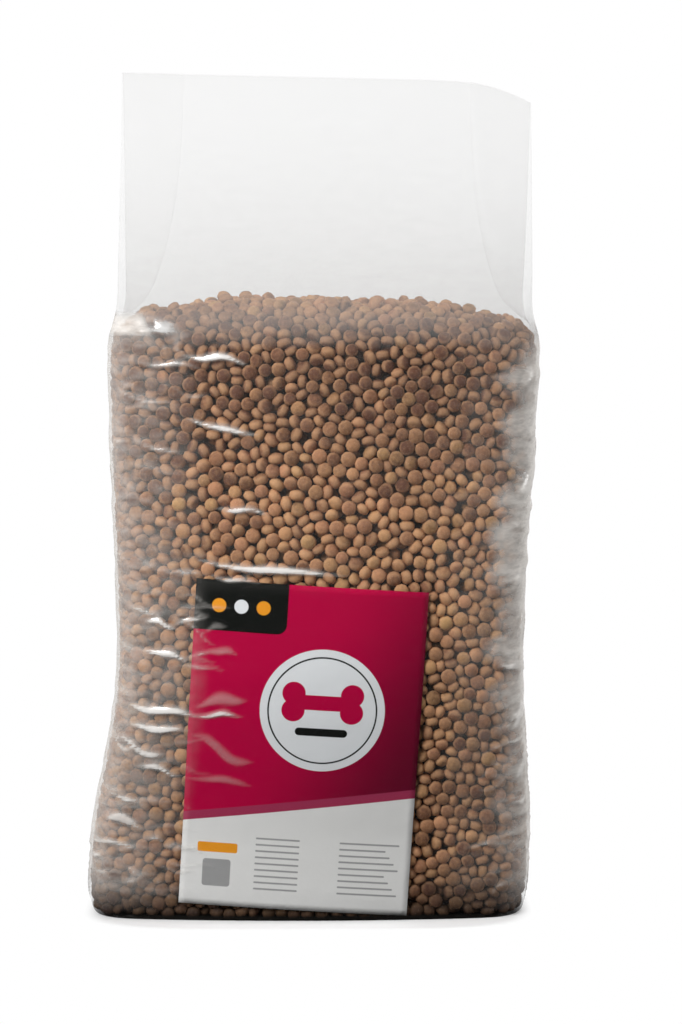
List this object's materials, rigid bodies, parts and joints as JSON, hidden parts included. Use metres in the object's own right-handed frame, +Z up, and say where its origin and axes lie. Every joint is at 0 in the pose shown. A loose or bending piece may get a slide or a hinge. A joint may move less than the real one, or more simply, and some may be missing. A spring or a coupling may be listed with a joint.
{
  "type": "pet food bag",
  "caption": "Clear side-gusset film bag filled with round brown kibble, with an empty tucked header, an open mouth and a printed sheet behind the film at the front.",
  "frame": {"origin": "centre of the base, under the middle of the bag's box", "axes": "+Z up from the base to the mouth, +Y from the front panel to the back panel, +X to the right seen from the front"},
  "size_m": [0.4616, 0.207, 0.85],
  "materials": {
    "clear_film": "clear glossy film, slightly hazy",
    "kibble": "dry baked crumb, matte",
    "printed_sheet": "printed paper, satin"
  },
  "bodies": {
    "root": {"film_bag": "clear_film", "kibble_fill": "kibble", "label_sheet": "printed_sheet"}
  },
  "joints": []
}
